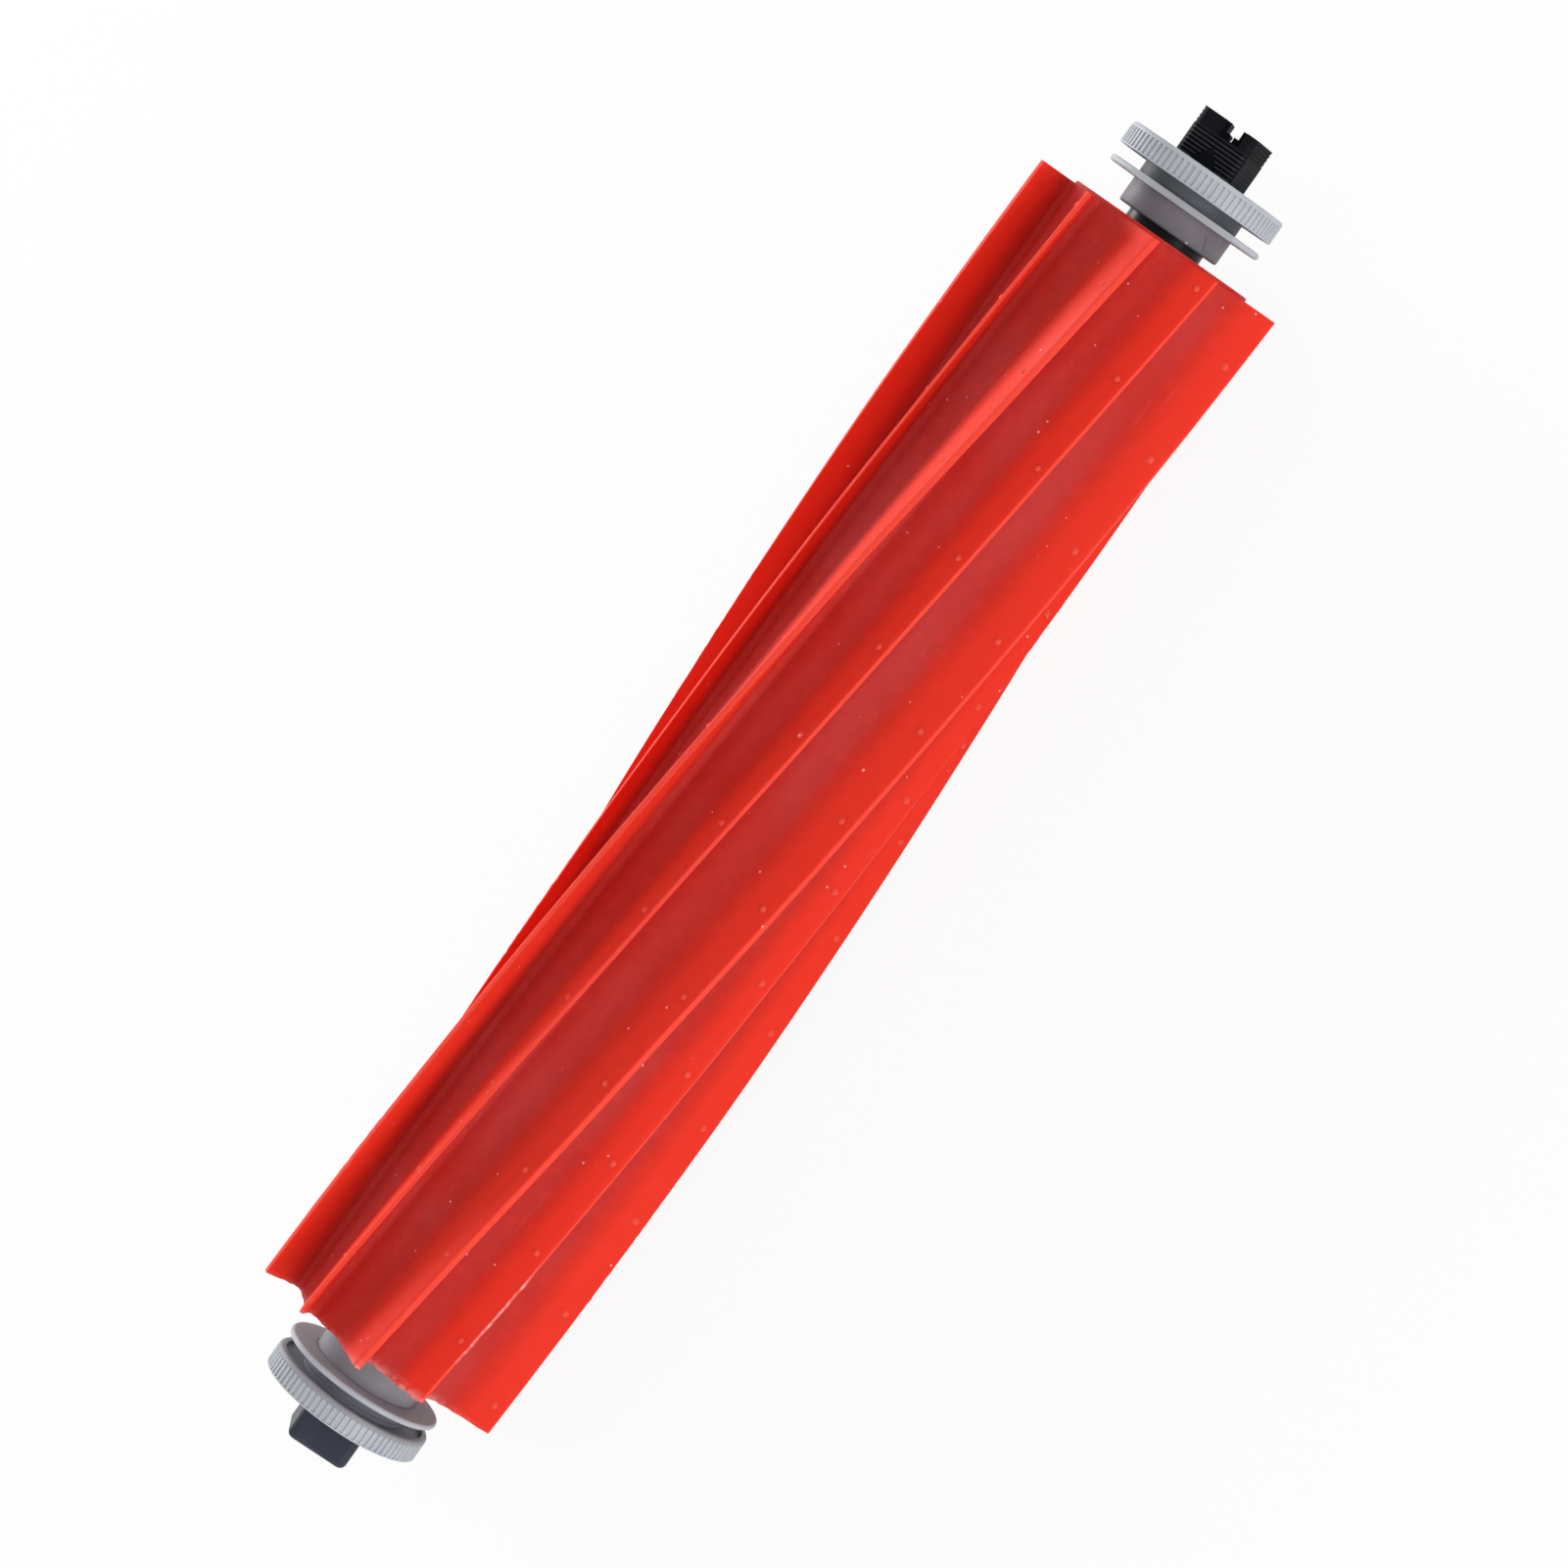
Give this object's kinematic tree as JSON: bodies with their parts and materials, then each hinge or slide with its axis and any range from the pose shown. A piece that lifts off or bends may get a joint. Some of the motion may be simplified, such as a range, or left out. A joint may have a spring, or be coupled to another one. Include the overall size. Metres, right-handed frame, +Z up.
{
  "type": "robot vacuum roller brush",
  "caption": "Roller brush with helical rubber fins for a robot vacuum, with a free-turning grooved wheel at each end, a ridged square drive peg and a rounded square idle plug.",
  "frame": {"origin": "on the turning axis, halfway between the tip of the drive peg and the end of the idle plug", "axes": "+X along the turning axis towards the drive peg, +Z up with the brush lying on its fins"},
  "size_m": [0.1858, 0.0338, 0.0337],
  "materials": {
    "red_rubber": "satin",
    "core_plastic": "satin",
    "black_plastic": "satin",
    "grey_plastic": "glossy",
    "slate_plastic": "satin",
    "bearing_steel": "satin",
    "polished_steel": "polished",
    "steel": "satin",
    "cage_plastic": "matte",
    "felt": "matte"
  },
  "bodies": {
    "roller": {"rubber_sleeve": "red_rubber", "core_tube": "core_plastic", "drive_end_hub": "core_plastic", "idle_end_hub": "core_plastic", "drive_peg": "black_plastic", "idle_journal": "black_plastic", "idle_journal_washer": "steel", "idle_journal_screw": "steel", "drive_bearing_inner_ring": "bearing_steel", "idle_bearing_inner_ring": "bearing_steel"},
    "drive_housing": {"drive_end_spool": "grey_plastic", "drive_bearing_outer_ring": "bearing_steel", "drive_bearing_roller_side_shield": "bearing_steel", "drive_bearing_outer_side_shield": "bearing_steel", "drive_hair_seal": "felt", "drive_bearing_clip": "steel"},
    "idle_housing": {"idle_end_spool": "grey_plastic", "idle_end_plug": "slate_plastic", "idle_bearing_outer_ring": "bearing_steel", "idle_bearing_roller_side_shield": "bearing_steel", "idle_bearing_outer_side_shield": "bearing_steel", "idle_hair_seal": "felt", "idle_bearing_clip": "steel"},
    "drive_ball_train": {"drive_ball_cage": "cage_plastic", "drive_bearing_balls": "polished_steel"},
    "idle_ball_train": {"idle_ball_cage": "cage_plastic", "idle_bearing_balls": "polished_steel"}
  },
  "joints": [
    {"name": "drive_housing_spin", "type": "hinge", "parent": "roller", "child": "drive_housing", "pos_m": [0.08198, 0, 0], "axis": [1, 0, 0], "continuous": true},
    {"name": "idle_housing_spin", "type": "hinge", "parent": "roller", "child": "idle_housing", "pos_m": [-0.08263, 0, 0], "axis": [1, 0, 0], "continuous": true},
    {"name": "drive_balls_spin", "type": "hinge", "parent": "roller", "child": "drive_ball_train", "pos_m": [0.08198, 0, 0], "axis": [1, 0, 0], "continuous": true},
    {"name": "idle_balls_spin", "type": "hinge", "parent": "roller", "child": "idle_ball_train", "pos_m": [-0.08263, 0, 0], "axis": [1, 0, 0], "continuous": true}
  ],
  "couplings": [
    {"joint": "drive_balls_spin", "follows": "drive_housing_spin", "ratio": 0.56},
    {"joint": "idle_balls_spin", "follows": "idle_housing_spin", "ratio": 0.56}
  ]
}
